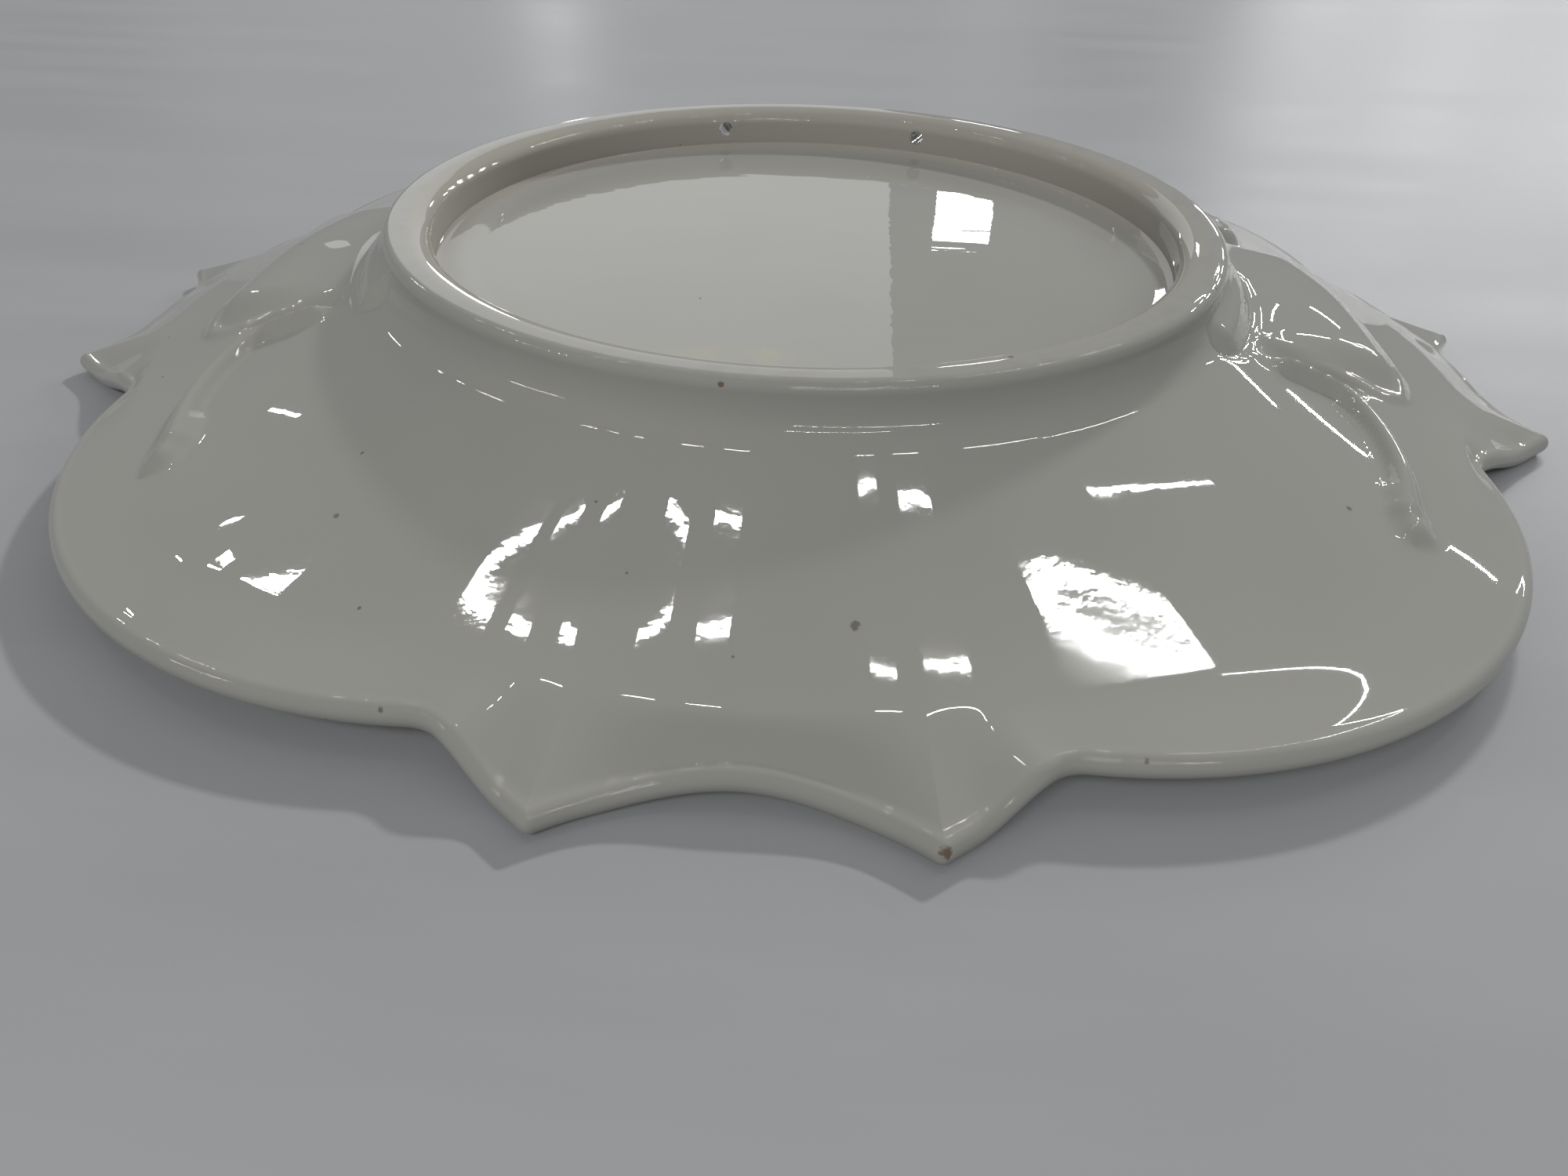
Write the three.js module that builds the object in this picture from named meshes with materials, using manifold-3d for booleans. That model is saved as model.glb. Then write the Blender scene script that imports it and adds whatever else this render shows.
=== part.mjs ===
// Deep serving dish of glazed earthenware, one fired piece, lying face down.
// Millimetres, +Z up. The origin is under the middle of the dish, on the table that its rim rests on.
// The long way of the dish runs along X. Seen in use the dish is turned over, so its mouth faces -Z here.
import * as THREE from 'three';
import { mergeVertices } from 'three/addons/utils/BufferGeometryUtils.js';
import Module from 'manifold-3d';

const wasm = await Module();
wasm.setup();

// Rim outline, one quadrant; the other three are its mirror images
const endTip = { x: 150, y: 24.5 };
const endHollowReach = 142.3;
const endNotch = { x: 131.3, y: 40.1 };
const sideTip = { x: 25.1, y: 139.6 };
const sideHollowReach = 131.6;
const sideNotch = { x: 45.8, y: 122.9 };
const lobeCentre = { x: 46.6, y: 47.1 };
const lobeRadius = 79.5;
const tipRounding = 1.3;
const notchRounding = 2.4;
const sharpestTip = 0.2;
const roundingChange = 0.8;

// Rim edge
const rimHeight = 4.3;
const restWidth = 2.2;
const lobeLift = 4;
const arcLift = 1.8;
const restingShare = 0.25;

// Foot ring and the recess inside it
const dishHeight = 35.2;
const ringRadius = 82.8;
const ringTopWidth = 8.8;
const ringFlatWidth = 1.6;
const ringInnerRound = 3.2;
const ringOuterRound = 2;
const ringFootWidth = 10;
const recessDepth = 8.8;
const creaseWidth = 1.2;
const creaseHeight = 0.9;
const ringWallDepth = 6;
const neckSpread = 4.6;
const neckDepth = 9.4;
const neckFillet = 2.6;

// Wall and flange
const wallThickness = 5.3;
const floorThickness = 5.2;
const wellRadius = 128.6;
const wellOval = 3.5;
const wellLobing = 2.2;
const wellPinch = 1.2;
const wellHeight = 9.9;
const wellLobeRise = 1.1;
const neckSlope = 1.14;
const flareSlope = 0.8;

// Two hanging holes through the foot ring
const holeDiameter = 3.4;
const holeSpacing = 53;
const holeDepth = 4.4;
const holeSides = 16;

// Moulded relief at the two ends; paths are given in one quadrant and mirrored
const insideFade = 0.5;
const ridgeHeight = 2.5;
const ridgeWidth = 2.4;
const ridgePath = [
  { x: 85, y: 39.5 }, { x: 93, y: 40 }, { x: 99, y: 41.5 }, { x: 102.5, y: 49.5 }, { x: 103, y: 59 },
  { x: 101.5, y: 67.5 }, { x: 100, y: 73 },
];
const dropHeight = 2;
const dropWidth = 2.1;
const dropPath = [{ x: 100.5, y: 68.5 }, { x: 100, y: 72.5 }, { x: 100, y: 77 }];
const leafDepth = 2;
const leafWidth = 3;
const leafPath = [{ x: 89.5, y: 34.5 }, { x: 95, y: 35 }, { x: 100, y: 36 }];
const tongueHeight = 1.5;
const tongueWidth = 2.3;
const tongueOffset = 2.6;
const tongueRise = 1.6;
const tongueAngles = { first: 3, last: 27 };
const panelRise = 3.6;
const panelStart = 87;
const panelTop = 111;
const panelEnd = 119.5;
const panelHalfWidths = { near: 36, far: 34 };
const panelFlank = 12;

// Glaze colour and gloss
const glazeColour = 0x9c9c96;
const glazeRoughness = 0.12;

// Facets
const steps = { endArc: 4, corner: 2, endEdge: 3, lobe: 16, sideEdge: 3, sideArc: 4 };
const wallRows = 12;
const innerRows = 6;
const innerCrownRows = 3;
const outerCrownRows = 2;
const ringRows = 3;
const edgeRows = 4;
const reliefSteps = 24;

const recessFloorRadius = ringRadius - ringFootWidth;
const tongueRadius = ringRadius + tongueOffset;
const neckRadius = ringRadius + neckSpread;
const neckLevel = dishHeight - neckDepth;
const floorLevel = dishHeight - recessDepth;
const crownRadius = ringRadius - ringOuterRound - ringFlatWidth / 2;
const innerCrown = ringTopWidth - ringOuterRound - ringFlatWidth;
const edgeRadius = rimHeight / 2;
const restInset = edgeRadius + restWidth;

function smooth(value) {
  const t = THREE.MathUtils.clamp(value, 0, 1);
  return t * t * (3 - 2 * t);
}

function distance(a, b) {
  return Math.hypot(a.x - b.x, a.y - b.y);
}

// Hollow arc of a bracket: its circle has its centre on the axis, outside the dish
function hollowCircle(reach, tipAlong, tipAcross) {
  const centre = (tipAlong ** 2 + tipAcross ** 2 - reach ** 2) / (2 * (tipAlong - reach));
  return { centre, radius: centre - reach };
}

// Straight edge from a tip to a notch, moved inward by the inset
function edgeLine(tip, notch, inset) {
  const length = distance(tip, notch);
  const along = { x: (notch.x - tip.x) / length, y: (notch.y - tip.y) / length };
  let normal = { x: -along.y, y: along.x };
  if (normal.x * tip.x + normal.y * tip.y > 0) {
    normal = { x: along.y, y: -along.x };
  }
  return { x: tip.x + normal.x * inset, y: tip.y + normal.y * inset, along };
}

// Point where a line meets a circle, the one nearest to a known corner
function lineMeetsCircle(line, centre, radius, corner) {
  const dx = line.x - centre.x;
  const dy = line.y - centre.y;
  const b = dx * line.along.x + dy * line.along.y;
  const root = Math.sqrt(Math.max(b * b - (dx * dx + dy * dy - radius * radius), 0));
  const places = [-b - root, -b + root].map((t) => ({
    x: line.x + line.along.x * t,
    y: line.y + line.along.y * t,
  }));
  places.sort((p, q) => distance(p, corner) - distance(q, corner));
  return places[0];
}

function between(a, b, t) {
  return { x: a.x + (b.x - a.x) * t, y: a.y + (b.y - a.y) * t };
}

function towards(from, to, length) {
  return between(from, to, length / distance(from, to));
}

// Points on a circle from one point to another, both ends cut short by a trim
function arcPoints(centre, radius, from, to, trimFrom, trimTo, count) {
  const start = Math.atan2(from.y - centre.y, from.x - centre.x);
  let turn = Math.atan2(to.y - centre.y, to.x - centre.x) - start;
  if (turn > Math.PI) turn -= 2 * Math.PI;
  if (turn < -Math.PI) turn += 2 * Math.PI;
  const sign = Math.sign(turn);
  const first = start + (sign * trimFrom) / radius;
  const last = start + turn - (sign * trimTo) / radius;
  const points = [];
  for (let i = 0; i <= count; i += 1) {
    const angle = first + ((last - first) * i) / count;
    points.push({ x: centre.x + radius * Math.cos(angle), y: centre.y + radius * Math.sin(angle) });
  }
  return points;
}

function linePoints(from, to, count) {
  return Array.from({ length: count + 1 }, (_, i) => between(from, to, i / count));
}

// Points of a rounded corner, without its two ends
function cornerPoints(before, corner, after, count) {
  const points = [];
  for (let i = 1; i < count; i += 1) {
    const t = i / count;
    points.push(between(between(before, corner, t), between(corner, after, t), t));
  }
  return points;
}

// Lift of the rim on the way from a tip, which rests on the table, to a raised part of the rim
function riseFromTip(share) {
  return smooth((share - restingShare) / (1 - restingShare));
}

// One quadrant of the outline from the end of the dish to its side, moved inward by an inset.
// Each point carries the lift of the rim there: none at the tips, some along the arcs, most along the lobe.
function quadrantOutline(inset) {
  const tipCut = Math.max(tipRounding - roundingChange * inset, sharpestTip);
  const notchCut = notchRounding + roundingChange * inset;
  const endCircle = hollowCircle(endHollowReach, endTip.x, endTip.y);
  const sideCircle = hollowCircle(sideHollowReach, sideTip.y, sideTip.x);
  const endCentre = { x: endCircle.centre, y: 0 };
  const sideCentre = { x: 0, y: sideCircle.centre };
  const endRadius = endCircle.radius + inset;
  const sideRadius = sideCircle.radius + inset;
  const innerLobe = lobeRadius - inset;
  const endLine = edgeLine(endTip, endNotch, inset);
  const sideLine = edgeLine(sideTip, sideNotch, inset);
  const tipA = lineMeetsCircle(endLine, endCentre, endRadius, endTip);
  const notchA = lineMeetsCircle(endLine, lobeCentre, innerLobe, endNotch);
  const notchB = lineMeetsCircle(sideLine, lobeCentre, innerLobe, sideNotch);
  const tipB = lineMeetsCircle(sideLine, sideCentre, sideRadius, sideTip);
  const endMiddle = { x: endCentre.x - endRadius, y: 0 };
  const sideMiddle = { x: 0, y: sideCentre.y - sideRadius };

  const endArc = arcPoints(endCentre, endRadius, endMiddle, tipA, 0, tipCut, steps.endArc);
  const endEdge = linePoints(towards(tipA, notchA, tipCut), towards(notchA, tipA, notchCut), steps.endEdge);
  const lobe = arcPoints(lobeCentre, innerLobe, notchA, notchB, notchCut, notchCut, steps.lobe);
  const sideEdge = linePoints(towards(notchB, tipB, notchCut), towards(tipB, notchB, tipCut), steps.sideEdge);
  const sideArc = arcPoints(sideCentre, sideRadius, tipB, sideMiddle, tipCut, 0, steps.sideArc);

  const points = [];
  const add = (list, lift) => {
    list.forEach((p, i) => points.push({ ...p, lift: lift(i / Math.max(list.length - 1, 1)) }));
  };
  const low = () => 0;
  const high = () => lobeLift;
  add(endArc, (t) => arcLift * riseFromTip(1 - t));
  add(cornerPoints(endArc.at(-1), tipA, endEdge[0], steps.corner), low);
  add(endEdge, (t) => lobeLift * riseFromTip(t));
  add(cornerPoints(endEdge.at(-1), notchA, lobe[0], steps.corner), high);
  add(lobe, high);
  add(cornerPoints(lobe.at(-1), notchB, sideEdge[0], steps.corner), high);
  add(sideEdge, (t) => lobeLift * riseFromTip(1 - t));
  add(cornerPoints(sideEdge.at(-1), tipB, sideArc[0], steps.corner), low);
  add(sideArc, (t) => arcLift * riseFromTip(t));
  return points;
}

// Whole outline, counter-clockwise from the +X end
function outline(inset) {
  const quadrant = quadrantOutline(inset);
  const flip = (sx, sy) => quadrant.map((p) => ({ x: sx * p.x, y: sy * p.y, lift: p.lift }));
  const first = flip(1, 1);
  const second = flip(-1, 1).reverse();
  const third = flip(-1, -1);
  const fourth = flip(1, -1).reverse();
  return [...first, ...second.slice(1), ...third.slice(1), ...fourth.slice(1, -1)];
}

// Distance from the middle to the line where wall and flange meet
function wellReach(angle) {
  return wellRadius + wellOval * Math.cos(2 * angle) - wellLobing * Math.cos(4 * angle)
    + wellPinch * Math.cos(8 * angle);
}

function wellLevel(angle) {
  return wellHeight + wellLobeRise * 0.5 * (1 - Math.cos(4 * angle));
}

// Share of the drop from neck to well edge: steepest at the neck, flattening outward
function wallDrop(share) {
  const third = neckSlope + flareSlope - 2;
  const second = 3 - 2 * neckSlope - flareSlope;
  return third * share ** 3 + second * share ** 2 + neckSlope * share;
}

// Smooth curves of the relief, as points close together
function curveThrough(path) {
  const curve = new THREE.CatmullRomCurve3(path.map((p) => new THREE.Vector3(p.x, p.y, 0)));
  return curve.getPoints(reliefSteps).map((p) => ({ x: p.x, y: p.y }));
}

const ridgeCurve = curveThrough(ridgePath);
const dropCurve = curveThrough(dropPath);
const leafCurve = curveThrough(leafPath);

function nearest(curve, point) {
  return Math.min(...curve.map((p) => distance(p, point)));
}

// Rounded swelling that is highest on its line and gone at twice its width
function hump(apart, width) {
  return smooth(1 - apart / (2 * width));
}

// Height that the relief adds at a place on the wall, the same in all four quadrants
function relief(x, y) {
  const point = { x: Math.abs(x), y: Math.abs(y) };
  const ridge = ridgeHeight * hump(nearest(ridgeCurve, point), ridgeWidth);
  const drop = dropHeight * hump(nearest(dropCurve, point), dropWidth);
  const leaf = leafDepth * hump(nearest(leafCurve, point), leafWidth);
  const outward = THREE.MathUtils.clamp((point.x - panelStart) / (panelEnd - panelStart), 0, 1);
  const half = THREE.MathUtils.lerp(panelHalfWidths.near, panelHalfWidths.far, outward);
  const across = Math.max(point.y - half + panelFlank, 0) / panelFlank;
  const along = Math.max(point.x - panelTop, 0) / (panelEnd - panelTop);
  const rising = smooth((point.x - panelStart) / (panelTop - panelStart));
  const panel = panelRise * rising * smooth(1 - Math.hypot(across, along));
  return Math.max(ridge, drop) - leaf + panel;
}

// Point near the foot of the ring, pushed outward where a tongue lies against the ring
function withTongue(point) {
  const start = THREE.MathUtils.degToRad(tongueAngles.first);
  const end = THREE.MathUtils.degToRad(tongueAngles.last);
  const own = Math.atan2(Math.abs(point.y), Math.abs(point.x));
  const angle = THREE.MathUtils.clamp(own, start, end);
  const middle = new THREE.Vector3(
    Math.sign(point.x) * tongueRadius * Math.cos(angle),
    Math.sign(point.y) * tongueRadius * Math.sin(angle),
    neckLevel + tongueRise,
  );
  const push = tongueHeight * hump(point.distanceTo(middle), tongueWidth);
  const outward = new THREE.Vector3(point.x, point.y, Math.hypot(point.x, point.y)).normalize();
  return point.clone().addScaledVector(outward, push);
}

const rimRest = outline(restInset);

// Rows of the surface, each a closed ring of points, from the recess floor outward and back underneath
function circleRow(radius, level) {
  return rimRest.map((p) => {
    const angle = Math.atan2(p.y, p.x);
    return new THREE.Vector3(radius * Math.cos(angle), radius * Math.sin(angle), level);
  });
}

function wallRow(share, drop, shown) {
  return rimRest.map((p) => {
    const angle = Math.atan2(p.y, p.x);
    const radius = neckRadius + share * (wellReach(angle) - neckRadius);
    const x = radius * Math.cos(angle);
    const y = radius * Math.sin(angle);
    const level = neckLevel + (wellLevel(angle) - neckLevel) * wallDrop(share);
    return new THREE.Vector3(x, y, level - drop + shown * relief(x, y));
  });
}

function rimRow(inset, level) {
  return outline(inset).map((p) => new THREE.Vector3(p.x, p.y, p.lift + level));
}

// Middle row of the flange between the well edge and a line of the rim.
// It is lowered by one amount at the well edge and another at the rim, and leaves at the wall's own slope.
function flangeRow(rim, wellDrop, rimDrop) {
  const share = 0.5;
  return rim.map((p, i) => {
    const angle = Math.atan2(rimRest[i].y, rimRest[i].x);
    const well = wellReach(angle);
    const start = wellLevel(angle);
    const end = p.lift + rimHeight;
    const x = THREE.MathUtils.lerp(well * Math.cos(angle), p.x, share);
    const y = THREE.MathUtils.lerp(well * Math.sin(angle), p.y, share);
    const wallSlope = (flareSlope * (neckLevel - start)) / (well - neckRadius);
    const width = Math.hypot(p.x, p.y) - well;
    const ease = (start - end - wallSlope * width) * share * (1 - share) ** 2;
    const level = THREE.MathUtils.lerp(start - wellDrop, end - rimDrop, share) + ease;
    return new THREE.Vector3(x, y, level + relief(x, y) * (1 - smooth(share)));
  });
}

// Outer side of the ring, which runs down and turns out into the wall
function ringSideCurve() {
  const fall = (neckSlope * (neckLevel - wellHeight)) / (wellRadius - neckRadius);
  return new THREE.CubicBezierCurve(
    new THREE.Vector2(ringRadius, dishHeight - ringOuterRound),
    new THREE.Vector2(ringRadius, dishHeight - ringWallDepth),
    new THREE.Vector2(neckRadius - neckFillet, neckLevel + neckFillet * fall),
    new THREE.Vector2(neckRadius, neckLevel),
  );
}

function surfaceRows() {
  const rows = [];
  rows.push(circleRow(recessFloorRadius, floorLevel));
  rows.push(circleRow(recessFloorRadius + creaseWidth, floorLevel + creaseHeight));
  for (let i = 0; i <= innerCrownRows; i += 1) {
    const turn = (Math.PI / 2) * (i / innerCrownRows);
    const radius = crownRadius - ringFlatWidth / 2 - innerCrown * Math.cos(turn);
    rows.push(circleRow(radius, dishHeight - ringInnerRound * (1 - Math.sin(turn))));
  }
  for (let i = 0; i <= outerCrownRows; i += 1) {
    const turn = (Math.PI / 2) * (1 - i / outerCrownRows);
    const radius = crownRadius + ringFlatWidth / 2 + ringOuterRound * Math.cos(turn);
    rows.push(circleRow(radius, dishHeight - ringOuterRound * (1 - Math.sin(turn))));
  }
  const side = ringSideCurve();
  for (let i = 1; i < ringRows; i += 1) {
    const point = side.getPoint(i / ringRows);
    rows.push(circleRow(point.x, point.y).map(withTongue));
  }
  for (let i = 0; i <= wallRows; i += 1) {
    rows.push(wallRow(i / wallRows, 0, 1).map(withTongue));
  }
  rows.push(flangeRow(outline(edgeRadius), 0, 0));
  for (let i = 0; i <= edgeRows; i += 1) {
    const turn = Math.PI / 2 - (Math.PI * i) / edgeRows;
    rows.push(rimRow(edgeRadius * (1 - Math.cos(turn)), edgeRadius * (1 + Math.sin(turn))));
  }
  rows.push(rimRow(restInset, 0));
  rows.push(flangeRow(rimRest, wallThickness, rimHeight));
  for (let i = innerRows; i >= 0; i -= 1) {
    const share = i / innerRows;
    rows.push(wallRow(share, wallThickness, smooth(share / insideFade)));
  }
  rows.push(circleRow(ringRadius, floorLevel - floorThickness));
  return rows;
}

// Closed mesh from the rows, with a middle point on the recess floor and one under it
function meshFromRows(rows) {
  const count = rows[0].length;
  const points = [new THREE.Vector3(0, 0, floorLevel), ...rows.flat()];
  points.push(new THREE.Vector3(0, 0, floorLevel - floorThickness));
  const last = points.length - 1;
  const at = (row, column) => 1 + row * count + (column % count);
  const triangles = [];
  for (let i = 0; i < count; i += 1) {
    triangles.push(0, at(0, i), at(0, i + 1));
    for (let row = 0; row + 1 < rows.length; row += 1) {
      triangles.push(at(row, i), at(row + 1, i), at(row + 1, i + 1));
      triangles.push(at(row, i), at(row + 1, i + 1), at(row, i + 1));
    }
    triangles.push(last, at(rows.length - 1, i + 1), at(rows.length - 1, i));
  }
  const geometry = new THREE.BufferGeometry();
  geometry.setAttribute('position', new THREE.Float32BufferAttribute(points.flatMap((p) => p.toArray()), 3));
  geometry.setIndex(triangles);
  return geometry;
}

function solidFrom(geometry) {
  const bare = geometry.clone();
  bare.deleteAttribute('normal');
  bare.deleteAttribute('uv');
  const merged = mergeVertices(bare, 1e-4);
  return new wasm.Manifold(new wasm.Mesh({
    numProp: 3,
    vertProperties: new Float32Array(merged.attributes.position.array),
    triVerts: new Uint32Array(merged.index.array),
  }));
}

function geometryFrom(solid) {
  const mesh = solid.getMesh();
  const geometry = new THREE.BufferGeometry();
  geometry.setAttribute('position', new THREE.Float32BufferAttribute(mesh.vertProperties, 3));
  geometry.setIndex(Array.from(mesh.triVerts));
  geometry.computeVertexNormals();
  return geometry;
}

// Pin that cuts one hanging hole, pointing at the middle of the dish through the ring's far side
function holePin(side) {
  const x = (side * holeSpacing) / 2;
  const y = Math.sqrt(crownRadius ** 2 - x ** 2);
  const pin = new THREE.CylinderGeometry(holeDiameter / 2, holeDiameter / 2, 4 * ringTopWidth, holeSides);
  pin.rotateZ(Math.atan2(y, x) - Math.PI / 2);
  pin.translate(x, y, dishHeight - holeDepth);
  return pin;
}

const body = solidFrom(meshFromRows(surfaceRows()));
const pierced = body.subtract(solidFrom(holePin(-1))).subtract(solidFrom(holePin(1)));

const glaze = new THREE.MeshStandardMaterial({ color: glazeColour, roughness: glazeRoughness, metalness: 0 });
const dish = new THREE.Mesh(geometryFrom(pierced), glaze);
dish.name = 'dish';

const model = new THREE.Group();
model.name = 'deep_dish';
model.add(dish);

export default model;
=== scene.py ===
# Deep lobed serving dish of glazed earthenware, lying face down on a pale table.
# Metres, +Z up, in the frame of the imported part. Sizes of the dish below are in millimetres.
import math

import bpy
import numpy as np
from mathutils import Matrix, Vector


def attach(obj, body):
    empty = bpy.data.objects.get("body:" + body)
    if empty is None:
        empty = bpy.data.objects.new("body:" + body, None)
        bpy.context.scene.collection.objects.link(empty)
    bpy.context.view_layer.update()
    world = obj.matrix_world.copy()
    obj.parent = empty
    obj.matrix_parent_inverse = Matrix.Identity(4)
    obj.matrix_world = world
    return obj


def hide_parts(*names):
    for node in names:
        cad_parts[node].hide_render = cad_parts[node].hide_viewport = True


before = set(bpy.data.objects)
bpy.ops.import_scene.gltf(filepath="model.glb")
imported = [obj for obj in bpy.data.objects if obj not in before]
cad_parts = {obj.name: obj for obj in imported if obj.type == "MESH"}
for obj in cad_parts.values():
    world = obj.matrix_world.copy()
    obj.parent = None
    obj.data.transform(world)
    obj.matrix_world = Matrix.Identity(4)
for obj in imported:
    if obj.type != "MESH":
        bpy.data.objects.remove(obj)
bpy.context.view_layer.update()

MM = 0.001

# Rim outline, one quadrant; the other three are its mirror images
END_TIP = (150.0, 24.5)
END_HOLLOW_REACH = 142.3
END_NOTCH = (131.3, 40.1)
SIDE_TIP = (25.1, 139.6)
SIDE_HOLLOW_REACH = 131.6
SIDE_NOTCH = (45.8, 122.9)
LOBE_CENTRE = (46.6, 47.1)
LOBE_RADIUS = 79.5
TIP_ROUNDING = 1.3
NOTCH_ROUNDING = 2.4
SHARPEST_TIP = 0.2
ROUNDING_CHANGE = 0.8

# Rim edge
RIM_HEIGHT = 4.3
REST_WIDTH = 2.2
LOBE_LIFT = 4.0
ARC_LIFT = 1.8
RESTING_SHARE = 0.25

# Foot ring and the recess inside it
DISH_HEIGHT = 35.2
RING_RADIUS = 82.8
RING_TOP_WIDTH = 8.8
RING_FLAT_WIDTH = 1.6
RING_INNER_ROUND = 3.2
RING_OUTER_ROUND = 2.0
RING_FOOT_WIDTH = 10.0
RECESS_DEPTH = 8.8
CREASE_WIDTH = 1.2
CREASE_HEIGHT = 0.9
RING_WALL_DEPTH = 6.0
NECK_SPREAD = 4.6
NECK_DEPTH = 9.4
NECK_FILLET = 2.6

# Wall and flange
WALL_THICKNESS = 5.3
FLOOR_THICKNESS = 5.2
WELL_RADIUS = 128.6
WELL_OVAL = 3.5
WELL_LOBING = 2.2
WELL_PINCH = 1.2
WELL_HEIGHT = 9.9
WELL_LOBE_RISE = 1.1
NECK_SLOPE = 1.14
FLARE_SLOPE = 0.8

# Two hanging holes through the foot ring
HOLE_DIAMETER = 3.4
HOLE_SPACING = 53.0
HOLE_DEPTH = 4.4
HOLE_SIDES = 48

# Moulded relief at the two ends; paths are given in one quadrant and mirrored
INSIDE_FADE = 0.5
RIDGE_HEIGHT = 2.5
RIDGE_WIDTH = 2.4
RIDGE_GROOVE = 0.7
RIDGE_GROOVE_WIDTH = 1.3
RIDGE_GROOVE_OFFSET = 3.2
RIDGE_PATH = [(85, 39.5), (93, 40), (99, 41.5), (102.5, 49.5), (103, 59), (101.5, 67.5), (100, 73)]
DROP_HEIGHT = 2.0
DROP_WIDTH = 4.2
DROP_PATH = [(100.5, 68.5), (100, 72.5), (100, 77)]
LEAF_DEPTH = 2.0
LEAF_WIDTH = 3.0
LEAF_PATH = [(89.5, 34.5), (95, 35), (100, 36)]
TONGUE_HEIGHT = 1.5
TONGUE_WIDTH = 2.3
TONGUE_GROOVE = 0.5
TONGUE_OFFSET = 2.6
TONGUE_RISE = 1.6
TONGUE_ANGLES = (3, 27)
PANEL_RISE = 3.6
PANEL_START = 87.0
PANEL_TOP = 111.0
PANEL_END = 119.5
PANEL_HALF_WIDTHS = (36.0, 34.0)
PANEL_FLANK = 12.0
CORD_HEIGHT = 0.8
CORD_WIDTH = 1.1
CORD_PATH = [
    (90.5, 32), (99.5, 32.5), (105.5, 33.5), (110, 34),
    (114, 32), (116, 25), (116.5, 16), (116.5, 0),
]
END_TAPER = 0.1

# Fineness of the mesh: columns along each piece of a quadrant, and rows of each zone
STEPS = {"end_arc": 34, "corner": 8, "end_edge": 24, "lobe": 96, "side_edge": 24, "side_arc": 34}
FLOOR_ROWS = 10
CROWN_ROWS = 14
RING_ROWS = 8
WALL_ROWS = 60
FLANGE_ROWS = 14
EDGE_ROWS = 16
REST_ROWS = 3
INNER_ROWS = 40

RECESS_FLOOR_RADIUS = RING_RADIUS - RING_FOOT_WIDTH
TONGUE_RADIUS = RING_RADIUS + TONGUE_OFFSET
NECK_RADIUS = RING_RADIUS + NECK_SPREAD
NECK_LEVEL = DISH_HEIGHT - NECK_DEPTH
FLOOR_LEVEL = DISH_HEIGHT - RECESS_DEPTH
CROWN_RADIUS = RING_RADIUS - RING_OUTER_ROUND - RING_FLAT_WIDTH / 2
INNER_CROWN = RING_TOP_WIDTH - RING_OUTER_ROUND - RING_FLAT_WIDTH
EDGE_RADIUS = RIM_HEIGHT / 2
REST_INSET = EDGE_RADIUS + REST_WIDTH


def smooth(value):
    t = np.clip(value, 0, 1)
    return t * t * (3 - 2 * t)


def unit(vector):
    return vector / np.linalg.norm(vector)


def hollow_circle(reach, tip_along, tip_across):
    """Centre on the axis and radius of the hollow arc of a bracket."""
    centre = (tip_along ** 2 + tip_across ** 2 - reach ** 2) / (2 * (tip_along - reach))
    return centre, centre - reach


def edge_line(tip, notch, inset):
    """Point and direction of the straight edge from a tip to a notch, moved inward."""
    tip = np.array(tip)
    along = unit(np.array(notch) - tip)
    normal = np.array([-along[1], along[0]])
    if normal @ tip > 0:
        normal = -normal
    return tip + normal * inset, along


def line_meets_circle(line, centre, radius, corner):
    start, along = line
    offset = start - centre
    b = offset @ along
    root = math.sqrt(max(b * b - (offset @ offset - radius * radius), 0))
    places = [start + along * (-b - root), start + along * (-b + root)]
    return min(places, key=lambda p: np.linalg.norm(p - np.array(corner)))


def towards(start, end, length):
    return start + unit(end - start) * length


def arc_points(centre, radius, start, end, trim_start, trim_end, count):
    first = math.atan2(*(start - centre)[::-1])
    turn = math.atan2(*(end - centre)[::-1]) - first
    turn = (turn + math.pi) % (2 * math.pi) - math.pi
    sign = math.copysign(1, turn)
    start_angle = first + sign * trim_start / radius
    end_angle = first + turn - sign * trim_end / radius
    angles = np.linspace(start_angle, end_angle, count + 1)
    return centre + radius * np.stack([np.cos(angles), np.sin(angles)], 1)


def line_points(start, end, count):
    t = np.linspace(0, 1, count + 1)[:, None]
    return start + (end - start) * t


def corner_points(before, corner, after, count):
    t = np.linspace(0, 1, count + 1)[1:-1, None]
    return (1 - t) ** 2 * before + 2 * t * (1 - t) * corner + t ** 2 * after


def rise_from_tip(share):
    """Share of the lift on the way from a tip, which rests on the table, to a raised part of the rim."""
    return smooth((share - RESTING_SHARE) / (1 - RESTING_SHARE))


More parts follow.
